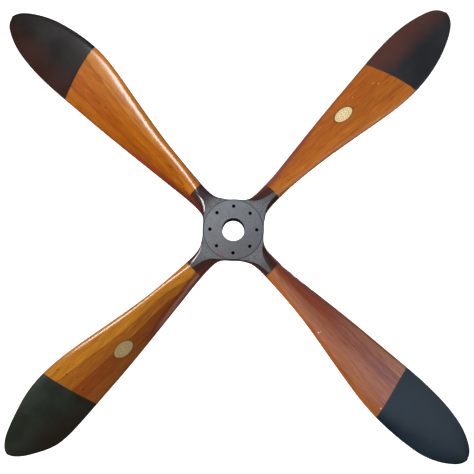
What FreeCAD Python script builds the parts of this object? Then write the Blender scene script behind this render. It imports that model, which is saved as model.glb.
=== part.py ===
import FreeCAD, Part
import math, os
from FreeCAD import Vector as V

# Four-blade fixed-pitch wooden aircraft propeller, millimetres.
# Shaft axis on Y, front face towards -Y, blades at 45 degrees to X and Z.
# Two two-blade stacks of boards are half-lapped through each other at the hub.

os.makedirs("parts", exist_ok=True)

# ---- driving dimensions -------------------------------------------------
R_TIP = 1220.0            # tip radius
BOARDS = 5                # boards in each stack
BOARD_T = 19.0            # thickness of one board
BLOCK_T = BOARDS * BOARD_T
LAP_HALF = 125.0          # half width of a board, and of the half-lap square
BORE_R = 42.5             # shaft bore
BOLT_PCD = 175.0          # bolt circle
BOLT_COUNT = 8
BOLT_R = 6.4
FLAT_AT = 116.1           # shaft axis to the flats between the blades
FACING_R = 110.5          # boss facing discs
FACING_T = 3.0
SHEATH_T = 0.8            # doped linen on the tips
# inner edge of each sheath: radius on the trailing side, on the blade axis and
# on the leading side, the outer two 110 mm from the axis
SHEATH_EDGE = {"a1": (842.8, 867.5, 882.7), "b1": (849.0, 870.9, 883.2),
               "a2": (836.7, 846.9, 860.3), "b2": (828.1, 848.5, 867.9)}
SHEATH_EDGE_S = 110.0
LABELS = {"b1": (625.0, -27.0), "b2": (607.0, -34.0)}  # centre of each oval transfer, along and across its blade
LABEL_A = 41.0            # half length
LABEL_B = 24.0            # half width
LABEL_T = 0.45
TE_T = 3.2                # trailing edge thickness

# ---- blade tables -------------------------------------------------------
# radius, reach to the leading side, reach to the trailing side. The blades are
# hand carved: they share the hub end and differ by a few millimetres outboard
PLAN_ROOT = [
    (29, 137, 137), (42, 124, 124), (55, 111, 111), (70, 95.8, 95.8),
    (82, 83.3, 83.3), (93, 70.6, 70.6), (102, 62.8, 60.4), (112, 56.2, 51.5),
    (122, 49.8, 46.6), (131, 44.8, 43.6), (150, 38.6, 41.6), (168, 36.2, 41.3),
    (187, 35.4, 42)]
PLAN = {
    "a1": PLAN_ROOT + [
        (220, 37.0, 44.6), (268, 39.8, 49.8), (329, 44.3, 57.6), (403, 50.6, 66.5),
        (488, 61.8, 77.3), (586, 77.3, 89.1), (683, 93.2, 99.8), (781, 108.2, 108.9),
        (854, 113.6, 116.3), (927, 108.9, 122.4), (1000, 96.0, 124.4),
        (1074, 76.2, 119.5), (1104, 64.4, 115.0), (1135, 49.0, 107.4),
        (1162, 33.4, 97.0), (1183, 18.5, 86.6), (1199, 4.9, 76.9),
        (1211, -9.2, 64.4), (1217, -20.0, 53.0), (1220, -36.5, 36.0)],
    "b1": PLAN_ROOT + [
        (220, 35.2, 43.3), (268, 35.9, 46.8), (329, 39.9, 55.0), (403, 46.4, 64.5),
        (488, 57.6, 75.8), (586, 72.6, 87.6), (683, 88.8, 98.2), (781, 102.4, 107.8),
        (854, 107.0, 115.4), (927, 103.8, 122.2), (1000, 92.3, 124.3),
        (1074, 72.4, 118.8), (1104, 60.9, 113.1), (1135, 47.5, 105.2),
        (1162, 33.6, 96.8), (1183, 20.2, 88.0), (1199, 7.4, 78.3),
        (1211, -7.5, 65.0), (1217, -18.8, 53.0), (1220, -36.0, 35.5)],
    "a2": PLAN_ROOT + [
        (220, 36.0, 43.7), (268, 37.8, 47.8), (329, 40.9, 55.3), (403, 46.8, 64.8),
        (488, 58.2, 76.3), (586, 74.4, 88.2), (683, 90.1, 98.1), (781, 103.2, 107.8),
        (854, 107.1, 115.1), (927, 104.2, 120.6), (1000, 96.6, 121.6),
        (1074, 83.2, 116.0), (1104, 72.7, 110.4), (1135, 58.6, 102.4),
        (1162, 42.7, 91.6), (1183, 27.2, 79.6), (1199, 13.8, 68.6),
        (1211, -0.8, 55.6), (1217, -11.5, 45.2), (1220, -28.8, 28.3)],
    "b2": PLAN_ROOT + [
        (220, 35.9, 44.4), (268, 37.6, 49.2), (329, 41.0, 57.4), (403, 47.0, 66.5),
        (488, 58.2, 77.8), (586, 74.1, 89.6), (683, 90.3, 100.3), (781, 103.8, 108.5),
        (854, 108.4, 114.9), (890, 107.4, 117.9), (919, 105.5, 120.4),
        (949, 101.4, 122.2), (978, 95.2, 123.1), (996, 90.3, 122.8),
        (1024, 81.3, 119.9), (1052, 71.6, 112.6), (1080, 61.2, 99.4),
        (1107, 50.3, 84.3), (1134, 37.0, 67.6), (1153, 23.4, 52.4),
        (1165, 11.8, 39.2), (1172, 1.4, 28.8), (1175.5, -14.6, 14.1)]}
# the b2 blade carries a shorter, clipped tip
TIP_R = {"a1": R_TIP, "b1": R_TIP, "a2": R_TIP, "b2": 1175.5}
# radius, rise of the section towards the front per mm across
SLOPE = [
    (29, 0), (93, 0), (102, 0.012), (112, 0.041), (122, 0.12), (131, 0.20),
    (150, 0.318), (168, 0.40), (187, 0.455), (206, 0.50), (235, 0.56),
    (268, 0.605), (300, 0.62), (330, 0.61), (370, 0.575), (420, 0.525),
    (488, 0.46), (586, 0.40), (683, 0.352), (781, 0.309), (854, 0.277),
    (927, 0.251), (1000, 0.227), (1074, 0.208), (1135, 0.193), (1183, 0.184),
    (1220, 0.178)]
# radius, half the section thickness measured along the shaft
HALF_T = [
    (29, 53), (93, 53), (102, 53), (112, 53), (122, 52.6), (131, 51.7),
    (150, 49.4), (168, 47.5), (187, 46.3), (206, 45.4), (220, 43.6),
    (268, 35.5), (300, 30.2), (330, 26.3), (370, 22.3), (420, 19.0),
    (488, 16.0), (586, 13.2), (683, 11.2), (781, 9.6), (854, 8.6), (927, 7.7),
    (1000, 6.8), (1074, 5.8), (1135, 5.0), (1183, 4.3), (1208, 3.7), (1220, 3.0)]
# radius, roundness powers: leading quarter, trailing quarter, rear half
POWER = [
    (29, 8, 8, 8), (93, 8, 8, 8), (102, 7.6, 7.6, 8), (112, 7, 7, 7),
    (122, 4.6, 5.2, 5), (131, 3.2, 4.0, 3.6), (150, 2.35, 3.4, 2.8),
    (168, 2.15, 3.2, 2.5), (187, 2.05, 3.1, 2.4), (206, 2, 3.05, 2.3),
    (300, 2, 3.0, 2.2), (370, 2, 2.6, 2.1), (430, 2, 2.2, 2), (520, 2, 2, 2),
    (1220, 2, 2, 2)]
STATIONS = [
    29, 42, 55, 69, 82, 93, 103, 113, 122, 131, 141, 152, 164, 177, 191, 207,
    226, 249, 276, 308, 345, 387, 434, 484, 536, 590, 645, 700, 755, 808, 860,
    909, 955, 998, 1035, 1069, 1098, 1121, 1141, 1158.5, 1173, 1185, 1195,
    1203, 1209, 1213.3, 1216.2, 1218.2, 1219.4, 1219.9]
SECTION_N = 22            # points on each side of a section


def monotone(xs, ys):
    """Shape-keeping cubic through the table points."""
    n = len(xs)
    h = [xs[i + 1] - xs[i] for i in range(n - 1)]
    d = [(ys[i + 1] - ys[i]) / h[i] for i in range(n - 1)]
    m = [0.0] * n
    m[0], m[-1] = d[0], d[-1]
    for i in range(1, n - 1):
        if d[i - 1] * d[i] > 0:
            w1, w2 = 2 * h[i] + h[i - 1], h[i] + 2 * h[i - 1]
            m[i] = (w1 + w2) / (w1 / d[i - 1] + w2 / d[i])

    def f(x):
        i = 0
        while i < n - 2 and x > xs[i + 1]:
            i += 1
        t = (x - xs[i]) / h[i]
        return ((1 + 2 * t) * (1 - t) ** 2 * ys[i] + t * (1 - t) ** 2 * h[i] * m[i]
                + t * t * (3 - 2 * t) * ys[i + 1] + t * t * (t - 1) * h[i] * m[i + 1])
    return f


def table(rows, col, warp):
    pts = sorted((warp(r[0]), r[col]) for r in rows)
    f = monotone([p[0] for p in pts], [p[1] for p in pts])
    return lambda r: f(warp(r))


def tip_warp(r, tip=R_TIP):
    return -math.sqrt(max(0.0, 1.0 - r / tip))


def plain(r):
    return float(r)


def outline(name):
    """Leading and trailing reach of a blade, and how its tip is drawn in."""
    tip = TIP_R[name]

    def warp(r):
        return tip_warp(r, tip)

    k = (R_TIP - 860.0) / (tip - 860.0)
    return (table(PLAN[name], 1, warp), table(PLAN[name], 2, warp),
            lambda r: r if r < 860 else 860 + (r - 860) * k, k)


slope = table(SLOPE, 1, plain)
half_t = table(HALF_T, 1, tip_warp)
pow_lead = table(POWER, 1, plain)
pow_trail = table(POWER, 2, plain)
pow_rear = table(POWER, 3, plain)


def smooth(a, b, x):
    t = min(1.0, max(0.0, (x - a) / (b - a)))
    return t * t * (3 - 2 * t)


def wing(x):
    return 10 * (0.2969 * math.sqrt(x) - 0.1260 * x - 0.3516 * x * x
                 + 0.2843 * x ** 3 - 0.1036 * x ** 4)


def section(r, kind, grow=0.0, lift=0.0):
    """Closed section at radius r as (across, forward) pairs, trailing edge to
    trailing edge round the leading edge. grow swells it, lift raises the front."""
    sl, st = kind[0](r) + grow, kind[1](r) + grow
    S, c = (sl + st) / 2, (sl - st) / 2
    b, T = slope(r), half_t(kind[2](r)) + grow
    w = smooth(250.0, 520.0, r)
    k = 0.5 - 0.32 * smooth(250.0, 560.0, r)
    te = TE_T * (1 - 0.3 * smooth(900, 1220, r))
    pts = []
    for i in range(2 * SECTION_N + 1):
        a = math.pi * (1 - i / SECTION_N)          # +pi .. 0 .. -pi
        up = a >= 0
        ca, sa = math.cos(a), abs(math.sin(a))
        if up:
            n = pow_lead(r) if ca > 0 else pow_trail(r)
        else:
            n = pow_rear(r)
        q = (abs(ca) ** n + sa ** n) ** (-1.0 / n)
        xr, yr = q * ca, q * sa
        xa = ca
        ya = 2 * wing((1 - ca) / 2) * ((1 - k) if up else k)
        x = (1 - w) * xr + w * xa
        y = (1 - w) * yr + w * ya
        s = c + S * x
        z = b * s + (T * y + te / 2 * (1 - x) / 2) * (1 if up else -1)
        if up:
            z += lift
        pts.append((s, z))
    return pts


def blade(stations, kind, grow=0.0, lift=0.0):
    """Solid blade along +X in the working frame, front towards +Z."""
    stations = [r if r <= 860 else 860 + (r - 860) / kind[3] for r in stations]
    grid = [[V(r, -s, z) for s, z in section(r, kind, grow, lift)] for r in stations]
    n_u, n_v = len(grid), len(grid[0])
    skin = Part.BSplineSurface()
    skin.buildFromPolesMultsKnots(
        grid, [4] + [1] * (n_u - 4) + [4], [4] + [1] * (n_v - 4) + [4],
        list(range(n_u - 2)), list(range(n_v - 2)), False, False, 3, 3)
    face = skin.toShape()

    def edge_near(a, b):
        best = None
        for e in face.Edges:
            p, q = e.Vertexes[0].Point, e.Vertexes[-1].Point
            d = min(p.distanceToPoint(a) + q.distanceToPoint(b),
                    p.distanceToPoint(b) + q.distanceToPoint(a))
            if best is None or d < best[0]:
                best = (d, e)
        return best[1]

    e_top = edge_near(grid[0][0], grid[-1][0])
    e_bot = edge_near(grid[0][n_v - 1], grid[-1][n_v - 1])
    e_in = edge_near(grid[0][0], grid[0][n_v - 1])
    e_out = edge_near(grid[-1][0], grid[-1][n_v - 1])
    te = Part.makeRuledSurface(e_top, e_bot)
    l_in = Part.makeLine(grid[0][0], grid[0][n_v - 1])
    l_out = Part.makeLine(grid[-1][0], grid[-1][n_v - 1])
    cap_in = Part.Face(Part.Wire(Part.__sortEdges__([e_in, l_in])))
    cap_out = Part.Face(Part.Wire(Part.__sortEdges__([e_out, l_out])))
    shell = Part.makeShell([face, te, cap_in, cap_out])
    shell.sewShape()
    solid = Part.makeSolid(shell)
    if solid.Volume < 0:
        solid.reverse()
    return solid


def prism(points, z0, z1):
    w = Part.makePolygon([V(x, y, z0) for x, y in points] + [V(points[0][0], points[0][1], z0)])
    return Part.Face(w).extrude(V(0, 0, z1 - z0))


def box(x0, x1, y0, y1, z0, z1):
    return Part.makeBox(x1 - x0, y1 - y0, z1 - z0, V(x0, y0, z0))


def turned(shape, angle):
    s = shape.copy()
    s.rotate(V(0, 0, 0), V(0, 0, 1), angle)
    return s


def placed(shape):
    """Working frame (front +Z, blades on X and Y) to the row frame."""
    s = shape.copy()
    s.rotate(V(0, 0, 0), V(0, 0, 1), 45)
    s.rotate(V(0, 0, 0), V(1, 0, 0), 90)
    return s


def save(shape, name):
    out = placed(shape)
    out.exportStep("parts/" + name + ".step")
    print(name, "solids", len(shape.Solids), "valid", shape.isValid(), "vol %.0f" % shape.Volume)


# ---- one blade: slab, wedge, tip sheath -----------------------------------
H = BLOCK_T / 2
far = 1500.0
wedge = prism([(0, 0), (far, far), (far, -far)], -H, H)


def tip_zone(name):
    """Everything outboard of the slightly bowed inner edge of the sheath."""
    trail, mid, lead = SHEATH_EDGE[name]
    k1, k2 = (lead - trail) / 2, (lead + trail) / 2 - mid
    y = 150.0                                  # +y is the trailing side
    q = y / SHEATH_EDGE_S
    hi = V(mid - k1 * q + k2 * q * q, y, -100)
    lo = V(mid + k1 * q + k2 * q * q, -y, -100)
    edges = [Part.Arc(hi, V(mid, 0, -100), lo).toShape(),
             Part.makeLine(lo, V(far, -y, -100)),
             Part.makeLine(V(far, -y, -100), V(far, y, -100)),
             Part.makeLine(V(far, y, -100), hi)]
    return Part.Face(Part.Wire(edges)).extrude(V(0, 0, 200))


def dressed(name):
    """Whole blade, its bare arm within its quarter of the hub, its sheath."""
    kind = outline(name)
    whole = blade(STATIONS, kind)
    arm = whole.common(wedge)
    core = blade([r for r in STATIONS if 600 < r < 1219], kind, grow=-SHEATH_T)
    sheath = arm.common(tip_zone(name)).cut(core)
    arm = arm.cut(sheath)
    for a in (45, -45):   # flats on the corners of the hub between the blades
        arm = arm.cut(turned(box(FLAT_AT, 160, -16, 16, -100, 100), a))
    return whole, arm, sheath


BLADES = ("a1", "a2", "b1", "b2")
TURN = {"a1": 90, "a2": 270, "b1": 0, "b2": 180}
whole, arm, sheath = {}, {}, {}
for name in BLADES:
    whole[name], arm[name], sheath[name] = dressed(name)

# ---- boards ---------------------------------------------------------------
# number 1 is the front board; in the lap square stack A keeps the rear half of
# each board and stack B the front half
drills = [Part.makeCylinder(BORE_R, 4 * H, V(0, 0, -2 * H))]
for i in range(BOLT_COUNT):
    a = math.radians(360.0 * i / BOLT_COUNT)
    drills.append(Part.makeCylinder(BOLT_R, 4 * H, V(BOLT_PCD / 2 * math.cos(a),
                                                    BOLT_PCD / 2 * math.sin(a), -2 * H)))
drills = drills[0].multiFuse(drills[1:])
root = arm["b1"].common(box(0, LAP_HALF, -LAP_HALF, LAP_HALF, -H, H))
outer_box = box(LAP_HALF, far, -LAP_HALF, LAP_HALF, -H, H)
span = {name: arm[name].common(outer_box) for name in BLADES}


def slab(shape, z0, z1):
    return shape.common(box(-far, far, -far, far, z0, z1))


for i in range(BOARDS):
    z1 = H - i * BOARD_T
    z0 = z1 - BOARD_T
    mid = (z0 + z1) / 2
    for stack, lo, hi in (("a", z0, mid), ("b", mid, z1)):
        part = slab(root, lo, hi)
        lap = part.multiFuse([turned(part, a) for a in (90, 180, 270)]).cut(drills)
        # the lap square of a board, then its two full-thickness arms
        arms = [turned(slab(span[n], z0, z1), TURN[n]) for n in BLADES if n[0] == stack]
        save(lap.multiFuse(arms), "%s_board_%d" % (stack, i + 1))

# ---- tip sheaths ----------------------------------------------------------
for name in BLADES:
    save(turned(sheath[name], TURN[name]), "tip_sheath_" + name)

# ---- boss facings ---------------------------------------------------------
for name, z in (("front_boss_facing", H), ("rear_boss_facing", -H - FACING_T)):
    disc = Part.makeCylinder(FACING_R, FACING_T, V(0, 0, z))
    disc = disc.cut(drills)
    save(disc, name)

# ---- oval transfers -------------------------------------------------------
for name, (at_r, at_s) in LABELS.items():
    oval = Part.Ellipse(V(at_r, -at_s, -100), LABEL_A, LABEL_B).toShape()
    oval = Part.Face(Part.Wire([oval])).extrude(V(0, 0, 200))
    # keep what is in front of the middle of the blade's thickness
    ahead = box(at_r - 100, at_r + 100, -200, 200, 0, 200)
    ahead.rotate(V(0, 0, 0), V(1, 0, 0), -math.degrees(math.atan(slope(at_r))))
    oval = oval.common(ahead)
    film = blade([r for r in STATIONS if 300 < r < 960], outline(name), lift=LABEL_T)
    save(turned(film.common(oval).cut(whole[name]), TURN[name]), "transfer_" + name)
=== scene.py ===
import bpy
import math
from mathutils import Matrix, Vector


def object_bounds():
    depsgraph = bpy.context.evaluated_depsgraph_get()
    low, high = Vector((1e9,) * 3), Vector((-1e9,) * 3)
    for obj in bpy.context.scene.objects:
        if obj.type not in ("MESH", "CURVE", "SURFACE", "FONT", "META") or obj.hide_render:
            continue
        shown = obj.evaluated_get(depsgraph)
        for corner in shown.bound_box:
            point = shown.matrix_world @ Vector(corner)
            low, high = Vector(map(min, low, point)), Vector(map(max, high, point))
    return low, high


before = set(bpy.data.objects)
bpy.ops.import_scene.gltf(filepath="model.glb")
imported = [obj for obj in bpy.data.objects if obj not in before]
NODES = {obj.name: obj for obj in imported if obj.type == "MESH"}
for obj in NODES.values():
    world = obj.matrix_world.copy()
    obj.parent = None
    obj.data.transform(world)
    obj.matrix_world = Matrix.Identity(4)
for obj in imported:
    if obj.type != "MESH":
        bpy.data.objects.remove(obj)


def plain_bounds():
    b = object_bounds()
    if isinstance(b, dict):
        return {k: [list(map(float, p)) for p in v] if isinstance(v, (list, tuple)) else v for k, v in b.items()}
    return [list(map(float, p)) for p in b]


{"cad": plain_bounds()}

# ------------------------------------------------------------------ helpers
def srgb(r, g, b):
    def f(c):
        c /= 255.0
        return c / 12.92 if c <= 0.04045 else ((c + 0.055) / 1.055) ** 2.4
    return (f(r), f(g), f(b), 1.0)


class Tree:
    """Small helper to write node trees compactly."""
    def __init__(self, name):
        self.mat = bpy.data.materials.new(name)
        self.mat.use_nodes = True
        self.t = self.mat.node_tree
        self.t.nodes.clear()
        self.out = self.t.nodes.new("ShaderNodeOutputMaterial")
        self.bsdf = self.t.nodes.new("ShaderNodeBsdfPrincipled")
        self.t.links.new(self.bsdf.outputs[0], self.out.inputs["Surface"])

    def put(self, sock, val):
        if isinstance(val, bpy.types.NodeSocket):
            self.t.links.new(val, sock)
        elif val is not None:
            if sock.type == "RGBA" and isinstance(val, (int, float)):
                val = (val, val, val, 1)
            sock.default_value = val

    def math(self, op, a, b=None, c=None, clamp=False):
        n = self.t.nodes.new("ShaderNodeMath")
        n.operation = op
        n.use_clamp = clamp
        for i, v in enumerate((a, b, c)):
            if v is not None:
                self.put(n.inputs[i], v)
        return n.outputs[0]

    def vec(self, op, a, b=None, scale=None):
        n = self.t.nodes.new("ShaderNodeVectorMath")
        n.operation = op
        self.put(n.inputs[0], a)
        if b is not None:
            self.put(n.inputs[1], b)
        if scale is not None:
            self.put(n.inputs["Scale"], scale)
        return n.outputs["Value"] if op in ("DOT_PRODUCT", "LENGTH", "DISTANCE") else n.outputs[0]

    def sep(self, v):
        n = self.t.nodes.new("ShaderNodeSeparateXYZ")
        self.put(n.inputs[0], v)
        return n.outputs[0], n.outputs[1], n.outputs[2]

    def comb(self, x, y, z):
        n = self.t.nodes.new("ShaderNodeCombineXYZ")
        for i, v in enumerate((x, y, z)):
            self.put(n.inputs[i], v)
        return n.outputs[0]

    def noise(self, vec, scale=1.0, detail=3.0, rough=0.5, distort=0.0):
        n = self.t.nodes.new("ShaderNodeTexNoise")
        self.put(n.inputs["Vector"], vec)
        n.inputs["Scale"].default_value = scale
        n.inputs["Detail"].default_value = detail
        n.inputs["Roughness"].default_value = rough
        n.inputs["Distortion"].default_value = distort
        return n.outputs[0]

    def voronoi(self, vec, scale=1.0, out=0):
        n = self.t.nodes.new("ShaderNodeTexVoronoi")
        self.put(n.inputs["Vector"], vec)
        n.inputs["Scale"].default_value = scale
        return n.outputs[out]

    def step(self, x, lo, hi, a=0.0, b=1.0):
        n = self.t.nodes.new("ShaderNodeMapRange")
        n.interpolation_type = "SMOOTHSTEP"
        self.put(n.inputs["Value"], x)
        n.inputs["From Min"].default_value = lo
        n.inputs["From Max"].default_value = hi
        n.inputs["To Min"].default_value = a
        n.inputs["To Max"].default_value = b
        return n.outputs[0]

    def mix(self, fac, a, b, mode="MIX"):
        n = self.t.nodes.new("ShaderNodeMix")
        n.data_type = "RGBA"
        n.blend_type = mode
        self.put(n.inputs["Factor"], fac)
        self.put([s for s in n.inputs if s.name == "A" and s.type == "RGBA"][0], a)
        self.put([s for s in n.inputs if s.name == "B" and s.type == "RGBA"][0], b)
        return [s for s in n.outputs if s.type == "RGBA"][0]

    def ramp(self, fac, stops):
        n = self.t.nodes.new("ShaderNodeValToRGB")
        self.put(n.inputs[0], fac)
        el = n.color_ramp.elements
        while len(el) > 1:
            el.remove(el[-1])
        el[0].position, el[0].color = stops[0]
        for p, c in stops[1:]:
            e = el.new(p)
            e.color = c
        return n.outputs[0]

    def bump(self, height, strength=0.3, dist=0.001):
        n = self.t.nodes.new("ShaderNodeBump")
        n.inputs["Strength"].default_value = strength
        n.inputs["Distance"].default_value = dist
        self.put(n.inputs["Height"], height)
        return n.outputs[0]

    def set(self, **kw):
        names = {"color": "Base Color", "rough": "Roughness", "metal": "Metallic",
                 "coat": "Coat Weight", "coat_rough": "Coat Roughness",
                 "normal": "Normal", "coat_normal": "Coat Normal",
                 "spec": "Specular IOR Level", "sheen": "Sheen Weight",
                 "coat_ior": "Coat IOR", "coat_tint": "Coat Tint"}
        for k, v in kw.items():
            self.put(self.bsdf.inputs[names[k]], v)

    def pos(self):
        n = self.t.nodes.new("ShaderNodeTexCoord")
        return n.outputs["Object"]


# blade directions in the row frame: angle in the XZ plane
BLADES = {"a1": 135.0, "b1": 45.0, "a2": -45.0, "b2": -135.0}


def blade_coords(t, names):
    """Along-blade and across-blade distances for a mesh of one pair.
    along is signed (positive on the first blade), across is positive on the
    leading side of the blade it is on. Metres."""
    a = math.radians(BLADES[names[0]])
    p = t.pos()
    u = t.vec("DOT_PRODUCT", p, (math.cos(a), 0.0, math.sin(a)))
    v = t.vec("DOT_PRODUCT", p, (math.sin(a), 0.0, -math.cos(a)))
    y = t.sep(p)[1]
    side = t.math("SIGN", u)
    r = t.math("ABSOLUTE", u)
    s = t.math("MULTIPLY", v, side)
    return p, u, v, r, s, y


# darker red flank on the trailing side of each arm's inner half: where it
# starts across the arm at 0.21 m and at 0.49 m from the shaft, and its colour
FLANK = {"a1": (-0.020, -0.060, (136, 52, 20)), "a2": (-0.006, -0.018, (150, 62, 34)),
         "b1": (-0.020, -0.058, (142, 60, 30)), "b2": (-0.013, -0.050, (108, 42, 24))}
# small marks: arm, along, across (metres), radius, colour, how strong. The light marks on b1 are painted highlights
MARKS = [("a1", 0.6906, -0.0226, 0.0060, (96, 40, 10), 0.8), ("a1", 0.3418, -0.0026, 0.0055, (92, 38, 10), 0.8),
         ("a1", 0.800, -0.060, 0.0045, (110, 52, 14), 0.6), ("a1", 0.742, -0.034, 0.0040, (110, 50, 14), 0.6),
         ("b2", 0.821, 0.0795, 0.0045, (60, 30, 14), 0.9), ("b2", 0.8125, 0.044, 0.0050, (66, 30, 14), 0.9),
         ("b2", 0.8156, -0.0381, 0.0055, (64, 26, 12), 0.9), ("b2", 0.795, 0.010, 0.0045, (84, 40, 14), 0.7),
         ("b2", 0.770, 0.052, 0.0040, (84, 42, 16), 0.7), ("b2", 0.760, -0.060, 0.0040, (70, 30, 12), 0.7),
         ("a2", 0.4933, 0.0396, 0.0042, (236, 200, 168), 0.9), ("a2", 0.497, 0.0330, 0.0030, (226, 190, 160), 0.8),
         ("a2", 0.8500, 0.0700, 0.0050, (196, 180, 164), 0.9),
         ("b1", 0.8118, -0.0189, 0.0060, (212, 146, 76), 0.6), ("b1", 0.800, -0.034, 0.0080, (200, 130, 60), 0.4),
         ("b1", 0.7046, -0.0515, 0.0055, (204, 138, 70), 0.5)]


# centre of the oval transfers along and across their blades
OVAL = {"b1": (0.625, -0.027), "b2": (0.607, -0.034)}


def wood(name, pair, seed, near, far):
    """Varnished board. near and far are (light, dark, streak) colours for the
    first and the second arm of the pair."""
    t = Tree(name)
    p, u, v, r, s, y = blade_coords(t, pair)
    # grain runs along the blade and is different on every board and arm
    w = t.noise(t.vec("ADD", t.comb(t.math("MULTIPLY", u, 2.2), t.math("MULTIPLY", s, 9.0),
                                    t.math("MULTIPLY", y, 9.0)), (seed * 3.7, seed * 1.9, 0.0)), 1.0, 2, 0.5)
    across = t.math("ADD", s, t.math("MULTIPLY", w, 0.035))
    broad = t.noise(t.vec("ADD", t.comb(t.math("MULTIPLY", u, 1.6), t.math("MULTIPLY", across, 42.0),
                                        t.math("MULTIPLY", y, 30.0)), (seed * 7.1, 0.0, seed)), 1.0, 3, 0.6)
    fine = t.noise(t.vec("ADD", t.comb(t.math("MULTIPLY", u, 5.0), t.math("MULTIPLY", across, 230.0),
                                       t.math("MULTIPLY", y, 160.0)), (seed, seed * 2.0, 0.0)), 1.0, 4, 0.65)
    pores = t.noise(t.vec("ADD", t.comb(t.math("MULTIPLY", u, 38.0), t.math("MULTIPLY", across, 900.0),
                                        t.math("MULTIPLY", y, 700.0)), (0.0, seed, 0.0)), 1.0, 2, 0.5)
    blotch = t.noise(t.vec("ADD", t.comb(t.math("MULTIPLY", u, 7.0), t.math("MULTIPLY", s, 16.0),
                                         t.math("MULTIPLY", y, 8.0)), (seed * 1.3, 4.0, 0.0)), 1.0, 2, 0.5)
    hair = t.noise(t.vec("ADD", t.comb(t.math("MULTIPLY", u, 9.0), t.math("MULTIPLY", across, 520.0),
                                       t.math("MULTIPLY", y, 300.0)), (seed, 0.0, seed * 3.0)), 1.0, 3, 0.7)
    g = t.math("ADD", t.math("ADD", t.math("MULTIPLY", broad, 0.40), t.math("MULTIPLY", fine, 0.35)),
               t.math("MULTIPLY", hair, 0.25))
    fleck = t.noise(t.vec("ADD", t.comb(t.math("MULTIPLY", u, 15.0), t.math("MULTIPLY", across, 150.0),
                                        t.math("MULTIPLY", y, 110.0)), (seed * 2.3, 7.0, seed)), 1.0, 3, 0.7)
    first = t.math("GREATER_THAN", u, 0.0)
    arm = []
    for light, dark, streak in (far, near):
        c = t.ramp(g, [(0.36, dark), (0.50, tuple((a + b) / 2 for a, b in zip(light, dark))), (0.62, light)])
        c = t.mix(t.step(blotch, 0.42, 0.70, 0.0, 0.35), c, dark)
        c = t.mix(t.math("MULTIPLY", t.step(broad, 0.58, 0.70), t.step(fine, 0.50, 0.62, 0.0, 0.5)), c, streak)
        c = t.mix(t.step(fleck, 0.53, 0.70, 0.0, 0.55), c, streak)
        c = t.mix(t.step(fleck, 0.32, 0.47, 0.32, 0.0), c, tuple(min(1.0, x * 1.5) for x in light[:3]) + (1.0,))
        arm.append(c)
    col = t.mix(first, arm[0], arm[1])
    col = t.mix(t.step(pores, 0.60, 0.74, 0.0, 0.30), col, srgb(74, 30, 8))
    # marks are on the front faces only
    face = t.t.nodes.new("ShaderNodeNewGeometry").outputs["Normal"]
    ahead = t.math("LESS_THAN", t.sep(face)[1], 0.0)
    # red flank on the trailing side
    for k, sel in ((pair[0], first), (pair[1], t.math("SUBTRACT", 1.0, first))):
        s0, s1, c = FLANK[k]
        line = t.math("ADD", t.math("MULTIPLY", t.math("SUBTRACT", r, 0.21), (s1 - s0) / 0.28), s0)
        off = t.math("ADD", t.math("SUBTRACT", s, line), t.math("MULTIPLY", t.math("SUBTRACT", w, 0.5), 0.010))
        m = t.math("MULTIPLY", t.math("MULTIPLY", t.step(off, -0.009, 0.005, 0.88, 0.0),
                                      t.step(r, 0.42, 0.60, 1.0, 0.0)), sel)
        deep = tuple(x * 0.62 for x in srgb(*c)[:3]) + (1.0,)
        col = t.mix(m, col, t.mix(t.step(g, 0.40, 0.60), deep, srgb(*c)))
        if k == "b2":
            # pale band standing in for the reflection along this flank
            band = t.math("MULTIPLY", t.math("MULTIPLY", t.step(off, -0.030, -0.020), t.step(off, -0.016, -0.008, 1.0, 0.0)),
                          t.math("MULTIPLY", t.step(r, 0.40, 0.50, 0.38, 0.0), sel))
            col = t.mix(t.math("MULTIPLY", band, ahead), col, srgb(168, 124, 104))
    for k, mu, ms, mr, c, f in MARKS:
        if k in pair:
            sg = 1.0 if k == pair[0] else -1.0
            d = t.vec("LENGTH", t.comb(t.math("SUBTRACT", u, sg * mu),
                                       t.math("MULTIPLY", t.math("SUBTRACT", v, sg * ms), 1.5), 0.0))
            col = t.mix(t.math("MULTIPLY", t.step(d, mr * 0.45, mr, f, 0.0), ahead), col, srgb(*c))
    # painted shadow: dark ring on the wood round each transfer
    for k in OVAL:
        if k in pair:
            sg = 1.0 if k == pair[0] else -1.0
            q = t.vec("LENGTH", t.comb(t.math("DIVIDE", t.math("SUBTRACT", u, sg * OVAL[k][0]), 0.0410),
                                       t.math("DIVIDE", t.math("SUBTRACT", v, sg * OVAL[k][1]), 0.0240), 0.0))
            col = t.mix(t.math("MULTIPLY", t.step(q, 1.04, 1.22, 0.55, 0.0), ahead), col, srgb(84, 44, 14))
    # glue lines between the boards
    lam = t.math("ABSOLUTE", t.math("SUBTRACT", t.math("FRACT", t.math("ADD", t.math("DIVIDE", y, 0.019), 0.5)), 0.5))
    glue = t.step(lam, 0.47, 0.497, 0.0, 0.40)
    col = t.mix(glue, col, srgb(48, 20, 10))
    # dark red steep sides of the arms towards the hub and of the blades: the mahogany's own red, darkened as painted
    # shade
    rho = t.math("SQRT", t.math("ADD", t.math("MULTIPLY", u, u), t.math("MULTIPLY", v, v)))
    nrm = t.t.nodes.new("ShaderNodeNewGeometry").outputs["Normal"]
    ny = t.math("ABSOLUTE", t.sep(nrm)[1])
    steep = t.step(ny, 0.15, 0.62, 1.0, 0.0)
    red = t.mix(g, srgb(48, 16, 10), srgb(92, 34, 20))
    col = t.mix(t.math("MULTIPLY", steep, 0.85), col, red)
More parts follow.
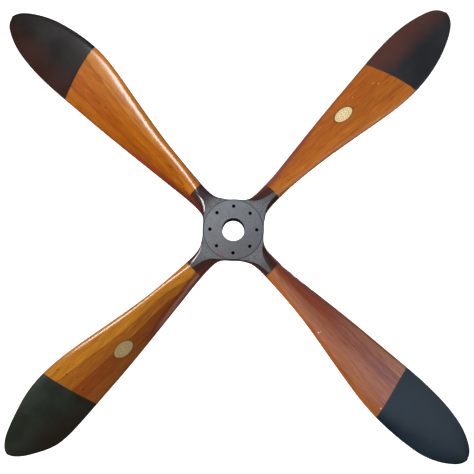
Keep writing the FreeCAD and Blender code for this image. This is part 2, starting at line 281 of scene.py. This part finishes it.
    # hub paint: slate on the flats, brown-black on the slopes, the side walls
    # left as wood; it ends in a straight line across each arm. The flats' slate is partly painted reflection on the
    # dark paint
    edge = t.math("ADD", r, t.math("MULTIPLY", t.math("SUBTRACT", t.noise(p, 90.0, 2), 0.5), 0.008))
    paint = t.step(edge, 0.2085, 0.2115, 1.0, 0.0)
    ay = t.math("ABSOLUTE", y)
    flat = t.step(ay, 0.0466, 0.0472)
    front = t.step(t.math("ADD", ay, t.math("MULTIPLY", t.math("SUBTRACT", t.noise(p, 60.0, 2), 0.5), 0.006)), 0.028, 0.039)
    slate = t.mix(t.noise(p, 22.0, 4, 0.6), srgb(84, 86, 90), srgb(106, 104, 104))
    scuff = t.noise(t.vec("MULTIPLY", p, (240.0, 40.0, 34.0)), 1.0, 3, 0.6)
    slate = t.mix(t.step(scuff, 0.56, 0.72, 0.0, 0.35), slate, srgb(60, 50, 48))
    speck = t.noise(t.vec("MULTIPLY", p, (150.0, 60.0, 150.0)), 1.0, 3, 0.7)
    slate = t.mix(t.step(speck, 0.50, 0.66, 0.0, 0.55), slate, srgb(40, 36, 38))
    slate = t.mix(t.step(rho, 0.125, 0.20, 0.0, 0.55), slate, srgb(52, 42, 40))
    if pair[0] == "a1":
        # painted shade: this arm's flat is darkened, as it looks darker from the front
        slate = t.mix(t.math("MULTIPLY", first, t.step(rho, 0.11, 0.17, 0.0, 0.85)), slate, srgb(34, 14, 14))
    # painted shade: thin dark line round the facing disc; dark red rim on the hub's corners
    slate = t.mix(t.math("MULTIPLY", t.step(rho, 0.1125, 0.1140, 0.75, 0.0), t.math("GREATER_THAN", rho, 0.1100)),
                  slate, srgb(26, 22, 24))
    px, pz = t.math("ABSOLUTE", t.sep(p)[0]), t.math("ABSOLUTE", t.sep(p)[2])
    rim = t.math("MULTIPLY", t.step(t.math("MAXIMUM", px, pz), 0.1128, 0.1148, 0.0, 0.85),
                 t.step(t.math("MINIMUM", px, pz), 0.050, 0.070, 1.0, 0.0))
    slate = t.mix(rim, slate, srgb(66, 26, 20))
    # light line along two edges of the flats. It stands in for the glint that
    # the rounded edge gives, and isn't worn paint
    for k, sel, way in (("a1", first, -1.0), ("b2", t.math("SUBTRACT", 1.0, first), 1.0)):
        if k in pair:
            wear_and_glint_zone = t.math("MULTIPLY", t.math("GREATER_THAN", t.math("MULTIPLY", s, way), 0.004),
                          t.math("MULTIPLY", t.step(r, 0.105, 0.130), t.step(r, 0.185, 0.205, 1.0, 0.0)))
            wear_and_glint_zone = t.math("MULTIPLY", t.math("MULTIPLY", wear_and_glint_zone, sel), t.math("LESS_THAN", y, 0.0))
            edge_line = t.math("MULTIPLY", t.step(ay, 0.0440, 0.0462), t.step(ay, 0.0474, 0.0475, 1.0, 0.55))
            glint_mask = t.math("MULTIPLY", t.math("MULTIPLY", wear_and_glint_zone, edge_line), t.step(ny, 0.90, 0.995, 1.0, 0.0))
            painted_glint = (glint_mask, srgb(205, 200, 198))
    brown = t.mix(t.noise(p, 40.0, 3, 0.6), srgb(34, 20, 17), srgb(66, 38, 32))
    side = t.mix(t.noise(p, 30.0, 3, 0.6), srgb(70, 22, 14), srgb(112, 46, 34))
    hub = t.mix(front, side, brown)
    hub = t.mix(flat, hub, slate)
    hub = t.mix(painted_glint[0], hub, painted_glint[1])
    col = t.mix(paint, col, hub)
    # uncoated matte walls inside the bore and the bolt holes, darkened as painted shade
    inside = t.math("MULTIPLY", t.math("LESS_THAN", ny, 0.5), t.math("LESS_THAN", rho, 0.105))
    col = t.mix(inside, col, srgb(40, 24, 20))
    rough = t.math("ADD", t.math("ADD", t.math("MULTIPLY", paint, 0.14), 0.30), t.math("MULTIPLY", inside, 0.5))
    wave = t.noise(t.vec("ADD", t.comb(t.math("MULTIPLY", u, 6.0), t.math("MULTIPLY", s, 20.0), y), (seed, 0, 0)), 1.0, 2)
    n = t.bump(t.math("ADD", t.math("MULTIPLY", fine, 0.05), wave), 0.15, 0.0015)
    t.set(color=col, rough=rough, normal=n, spec=0.12, coat_rough=0.18,
          coat=t.math("MULTIPLY", t.math("SUBTRACT", 1.0, inside), t.math("SUBTRACT", 0.9, t.math("MULTIPLY", paint, 0.6))))
    return t.mat


# colours per board and arm: light, dark, streak. Board 1 of a1, b1 and b2 is lightened as painted highlight, and the
# raised blue in a2's boards 2 to 4 is painted sheen of cool light
TONES = {
    "a1": [((166, 102, 12), (144, 78, 8), (111, 55, 5)), ((154, 86, 6), (133, 66, 4), (103, 46, 2)),
           ((148, 76, 3), (125, 58, 2), (88, 38, 1)), ((153, 83, 5), (130, 64, 3), (96, 43, 2)),
           ((144, 77, 11), (115, 54, 7), (90, 40, 6))],
    "a2": [((164, 91, 38), (138, 69, 27), (110, 50, 19)), ((164, 98, 68), (139, 74, 50), (110, 53, 39)),
           ((152, 92, 73), (123, 67, 59), (101, 51, 51)), ((162, 107, 82), (138, 83, 63), (111, 61, 53)),
           ((134, 70, 31), (107, 48, 23), (88, 37, 20))],
    "b1": [((175, 100, 22), (149, 77, 16), (119, 56, 9)), ((168, 92, 14), (143, 71, 8), (114, 52, 6)),
           ((170, 91, 12), (145, 70, 8), (114, 49, 5)), ((172, 92, 17), (149, 72, 11), (117, 52, 7)),
           ((155, 85, 19), (127, 60, 12), (102, 44, 8))],
    "b2": [((171, 110, 22), (145, 84, 13), (111, 58, 10)), ((150, 89, 14), (128, 67, 7), (98, 46, 5)),
           ((126, 61, 5), (103, 43, 3), (77, 28, 2)), ((128, 67, 11), (102, 48, 7), (80, 34, 5)),
           ((117, 64, 16), (92, 46, 12), (73, 33, 9))],
}


def tones(k, i):
    return tuple(srgb(*c) for c in TONES[k][i - 1])


for stack, pair in (("a", ("a1", "a2")), ("b", ("b1", "b2"))):
    for i in range(1, 6):
        n = "%s_board_%d" % (stack, i)
        NODES[n].data.materials.clear()
        NODES[n].data.materials.append(wood("wood_" + n, pair, i + (10.0 if stack == "b" else 0.0),
                                            tones(pair[0], i), tones(pair[1], i)))


# doped linen: base, blotch, and the brown showing through on the trailing side. The blue of a2 and the green of b2
# are partly painted reflection
TIPS = {"a1": ((10, 6, 5), (24, 17, 17), (40, 10, 0)), "b1": ((24, 25, 28), (34, 34, 38), (82, 42, 32)),
        "a2": ((16, 28, 38), (22, 36, 50), (22, 32, 42)), "b2": ((24, 28, 20), (34, 40, 32), (26, 14, 6))}


def tip_black(name, blade):
    t = Tree(name)
    a = math.radians(BLADES[blade])
    p = t.pos()
    s = t.vec("DOT_PRODUCT", p, (math.sin(a), 0.0, -math.cos(a)))
    blot = t.noise(p, 9.0, 4, 0.6)
    base, light, thin = (srgb(*c) for c in TIPS[blade])
    col = t.mix(t.step(blot, 0.35, 0.7), base, light)
    wear_and_glint_zone = t.math("ADD", s, t.math("MULTIPLY", t.math("SUBTRACT", t.noise(p, 6.0, 3, 0.6), 0.5), 0.12))
    col = t.mix(t.step(wear_and_glint_zone, -0.10, 0.01, 0.8, 0.0), col, thin)
    weave = t.noise(p, 700.0, 2, 0.5)
    t.set(color=col, rough=t.step(blot, 0.3, 0.7, 0.34, 0.44), spec=0.18 if blade == "a1" else 0.4,
          normal=t.bump(t.math("ADD", t.math("MULTIPLY", weave, 0.12), t.noise(p, 14.0, 2)), 0.14, 0.0015),
          coat=0.25, coat_rough=0.2)
    return t.mat


for k in BLADES:
    n = "tip_sheath_" + k
    NODES[n].data.materials.clear()
    NODES[n].data.materials.append(tip_black("tip_" + k, k))


def facing():
    t = Tree("hub_face")
    p = t.pos()
    px, py, pz = t.sep(p)
    # the slate is partly painted reflection on the dark paint
    slate = t.mix(t.noise(p, 22.0, 4, 0.6), srgb(88, 92, 97), srgb(112, 114, 116))
    scuff = t.noise(t.vec("MULTIPLY", p, (240.0, 40.0, 34.0)), 1.0, 3, 0.6)
    col = t.mix(t.step(scuff, 0.56, 0.72, 0.0, 0.3), slate, srgb(62, 54, 54))
    speck = t.noise(t.vec("MULTIPLY", p, (150.0, 60.0, 150.0)), 1.0, 3, 0.7)
    col = t.mix(t.step(speck, 0.50, 0.66, 0.0, 0.45), col, srgb(48, 46, 50))
    # painted shade: the disc darkens towards the lower right, as it looks in the front view
    painted_shade_ramp = t.math("ADD", t.math("MULTIPLY", px, 0.5), t.math("MULTIPLY", pz, -0.85))
    col = t.mix(t.step(painted_shade_ramp, -0.09, 0.11, 0.0, 0.62), col, srgb(66, 60, 64))
    # reddish patches towards the bottom of the disc
    reddish_low = t.math("MULTIPLY", t.step(pz, -0.105, -0.02, 1.0, 0.0), t.step(t.noise(p, 45.0, 4, 0.65), 0.52, 0.70, 0.0, 0.6))
    col = t.mix(reddish_low, col, srgb(96, 58, 48))
    # painted shade: dark walls of the holes and the disc's rim
    nrm = t.t.nodes.new("ShaderNodeNewGeometry").outputs["Normal"]
    ny = t.math("ABSOLUTE", t.sep(nrm)[1])
    col = t.mix(t.math("LESS_THAN", ny, 0.5), col, srgb(36, 26, 24))
    rough = t.math("ADD", 0.42, t.math("MULTIPLY", t.math("LESS_THAN", ny, 0.5), 0.4))
    t.set(color=col, rough=rough, spec=0.4, normal=t.bump(scuff, 0.12, 0.0006))
    return t.mat


FACE = facing()
for n in ("front_boss_facing", "rear_boss_facing"):
    NODES[n].data.materials.clear()
    NODES[n].data.materials.append(FACE)


def transfer(name, blade, paper, stain, inkc):
    """A plain oval transfer: a border, rings and rows of ticks, no mark."""
    t = Tree(name)
    a = math.radians(BLADES[blade])
    p = t.pos()
    u = t.math("SUBTRACT", t.vec("DOT_PRODUCT", p, (math.cos(a), 0.0, math.sin(a))), OVAL[blade][0])
    s = t.math("SUBTRACT", t.vec("DOT_PRODUCT", p, (math.sin(a), 0.0, -math.cos(a))), OVAL[blade][1])
    eu, es = t.math("DIVIDE", u, 0.041), t.math("DIVIDE", s, 0.024)
    q = t.math("SQRT", t.math("ADD", t.math("MULTIPLY", eu, eu), t.math("MULTIPLY", es, es)))
    ring = t.math("COMPARE", q, 0.82, 0.025)
    ring2 = t.math("COMPARE", q, 0.56, 0.03)
    ang = t.math("ARCTAN2", es, eu)
    tick = t.math("MULTIPLY", t.step(t.math("SINE", t.math("MULTIPLY", ang, 18.0)), 0.0, 0.4),
                  t.math("COMPARE", q, 0.69, 0.07))
    dot = t.math("MULTIPLY", t.step(t.math("SINE", t.math("MULTIPLY", ang, 6.0)), -0.2, 0.3),
                 t.math("COMPARE", q, 0.28, 0.12))
    ink = t.math("MAXIMUM", t.math("MAXIMUM", ring, ring2), t.math("MAXIMUM", tick, dot))
    base = t.mix(t.noise(p, 60.0, 3), paper, stain)
    col = t.mix(t.math("MULTIPLY", ink, 0.62), base, inkc)
    col = t.mix(t.step(q, 0.90, 0.97, 0.0, 0.75), col, srgb(84, 58, 22))
    t.set(color=col, rough=0.35, coat=0.6, coat_rough=0.15)
    return t.mat


for k, c in (("b1", ((240, 222, 176), (214, 192, 134), (128, 106, 56))),
             ("b2", ((170, 148, 100), (144, 120, 76), (84, 66, 34)))):
    n = "transfer_" + k
    NODES[n].data.materials.clear()
    NODES[n].data.materials.append(transfer(n, k, *(srgb(*x) for x in c)))

# ------------------------------------------------------------------ camera
cam_data = bpy.data.cameras.new("camera")
cam_data.sensor_width = 36.0
cam_data.lens = 36.0
cam_data.clip_end = 50.0
cam = bpy.data.objects.new("camera", cam_data)
bpy.context.scene.collection.objects.link(cam)
cam.matrix_world = Matrix(((0.999857, -0.015253, -0.007243, 0.001371),
                           (-0.008375, -0.075563, -0.997106, -1.811066),
                           (0.014662, 0.997024, -0.07568, -0.161778),
                           (0.0, 0.0, 0.0, 1.0)))
bpy.context.scene.camera = cam

# ------------------------------------------------------------------ stage
def plane_mesh(name, pts):
    m = bpy.data.meshes.new(name)
    m.from_pydata([tuple(p) for p in pts], [], [tuple(range(len(pts)))])
    o = bpy.data.objects.new(name, m)
    bpy.context.scene.collection.objects.link(o)
    return o


def stage_mat(name, col, emit):
    t = Tree(name)
    p = t.pos()
    c = t.mix(t.noise(p, 2.0, 2), col, tuple(min(1.0, x * 1.02) for x in col[:3]) + (1,))
    t.set(color=c, rough=0.9, spec=0.1)
    t.bsdf.inputs["Emission Color"].default_value = (1, 1, 1, 1)
    t.bsdf.inputs["Emission Strength"].default_value = emit
    return t.mat


floor = plane_mesh("floor", [(-7, -6, -2.6), (7, -6, -2.6), (7, 4, -2.6), (-7, 4, -2.6)])
WALL = 3.5
walls = [plane_mesh("backdrop_%d" % i, [(WALL * a, WALL * b, -2.6), (WALL * c, WALL * d, -2.6),
                                        (WALL * c, WALL * d, 6), (WALL * a, WALL * b, 6)])
         for i, (a, b, c, d) in enumerate(((-1, 1, 1, 1), (1, 1, 1, -1), (1, -1, -1, -1), (-1, -1, -1, 1)))]
floor.data.materials.append(stage_mat("floor_paint", (0.80, 0.80, 0.80, 1), 0.35))
pale = stage_mat("backdrop_paint", (0.85, 0.85, 0.85, 1), 1.0)
for o in walls:
    o.data.materials.append(pale)
    o.visible_diffuse = False     # the walls only stand behind the object
    o.visible_shadow = False
for o in [floor] + walls:
    o.visible_glossy = False      # the pale stage doesn't mirror in the varnish

# small black discs stand in the bolt holes as painted shade, as part of the backdrop,
# so that its white doesn't show through the hub
hole_shade_mesh = bpy.data.meshes.new("hole_shade_discs")
verts, faces = [], []
for i in range(8):
    a = math.radians(45 * i + 45)
    cx, cz = 0.0875 * math.cos(a), 0.0875 * math.sin(a)
    k = len(verts)
    for j in range(24):
        q = 2 * math.pi * j / 24
        verts.append((cx + 0.0063 * math.cos(q), 0.034, cz + 0.0063 * math.sin(q)))
    faces.append(tuple(range(k, k + 24)))
hole_shade_mesh.from_pydata(verts, [], faces)
hole_shade_obj = bpy.data.objects.new("hole_shade_discs", hole_shade_mesh)
bpy.context.scene.collection.objects.link(hole_shade_obj)
ft = Tree("hole_shade_black")
ft.set(color=ft.mix(ft.noise(ft.pos(), 900.0, 2), (0.004, 0.004, 0.004, 1), (0.009, 0.009, 0.009, 1)), rough=1.0, spec=0.0)
hole_shade_mesh.materials.append(ft.mat)

# ------------------------------------------------------------------ light
world = bpy.data.worlds.new("world")
world.use_nodes = True
wt = world.node_tree
bg = wt.nodes["Background"]
bg.inputs[1].default_value = 1.0
wc = wt.nodes.new("ShaderNodeTexCoord")
ws = wt.nodes.new("ShaderNodeSeparateXYZ")
wt.links.new(wc.outputs["Generated"], ws.inputs[0])
wm = wt.nodes.new("ShaderNodeMapRange")
wm.inputs["From Min"].default_value = -1.0
wm.inputs["From Max"].default_value = 1.0
wt.links.new(ws.outputs[2], wm.inputs["Value"])
wr = wt.nodes.new("ShaderNodeValToRGB")
wt.links.new(wm.outputs[0], wr.inputs[0])
wt.links.new(wr.outputs[0], bg.inputs[0])
# height of the direction from straight down (0) to straight up (1)
SKY = [(0.0, (0.05, 0.055, 0.04)), (0.30, (0.07, 0.08, 0.055)), (0.47, (0.08, 0.075, 0.06)),
       (0.62, (0.10, 0.10, 0.09)), (0.82, (0.22, 0.23, 0.25)), (0.95, (0.26, 0.27, 0.29)),
       (1.0, (0.3, 0.3, 0.32))]
el = wr.color_ramp.elements
el[0].position, el[0].color = SKY[0][0], SKY[0][1] + (1,)
el[1].position, el[1].color = SKY[-1][0], SKY[-1][1] + (1,)
for q, c in SKY[1:-1]:
    e = el.new(q)
    e.color = c + (1,)
bpy.context.scene.world = world


def area(name, loc, target, size_x, size_y, power, col=(1, 1, 1), glossy=True):
    d = bpy.data.lights.new(name, "AREA")
    d.shape = "RECTANGLE"
    d.size, d.size_y = size_x, size_y
    d.energy = power
    d.color = col
    o = bpy.data.objects.new(name, d)
    o.location = loc
    o.rotation_euler = (Vector(target) - Vector(loc)).to_track_quat("-Z", "Y").to_euler()
    bpy.context.scene.collection.objects.link(o)
    o.visible_glossy = glossy
    return o


# tall window at the left front: the streaks on the left blades
area("window", (-1.45, -2.40, 0.55), (0, 0, 0.2), 0.62, 2.3, 84, (0.97, 0.98, 1.0))
# broad soft light from the same side, which the varnish doesn't mirror
area("key", (-2.9, -3.0, 0.3), (0, 0, 0), 1.4, 1.4, 32, (1.0, 0.98, 0.94), glossy=False)
# wide cool panel at the right front: the sheen on the right blades
area("cool", (1.45, -2.4, 0.1), (0, 0, 0), 3.0, 2.2, 26, (0.68, 0.85, 1.0))

# soft light behind, for the rear of the object
area("rear_fill", (1.3, 3.0, 0.9), (0, 0, 0), 1.8, 1.8, 60, (1.0, 0.99, 0.97), glossy=False)
area("rear_window", (1.5, 2.9, 0.6), (0, 0, 0.1), 0.5, 2.0, 22, (0.97, 0.98, 1.0))

bpy.context.scene.view_settings.view_transform = "Standard"
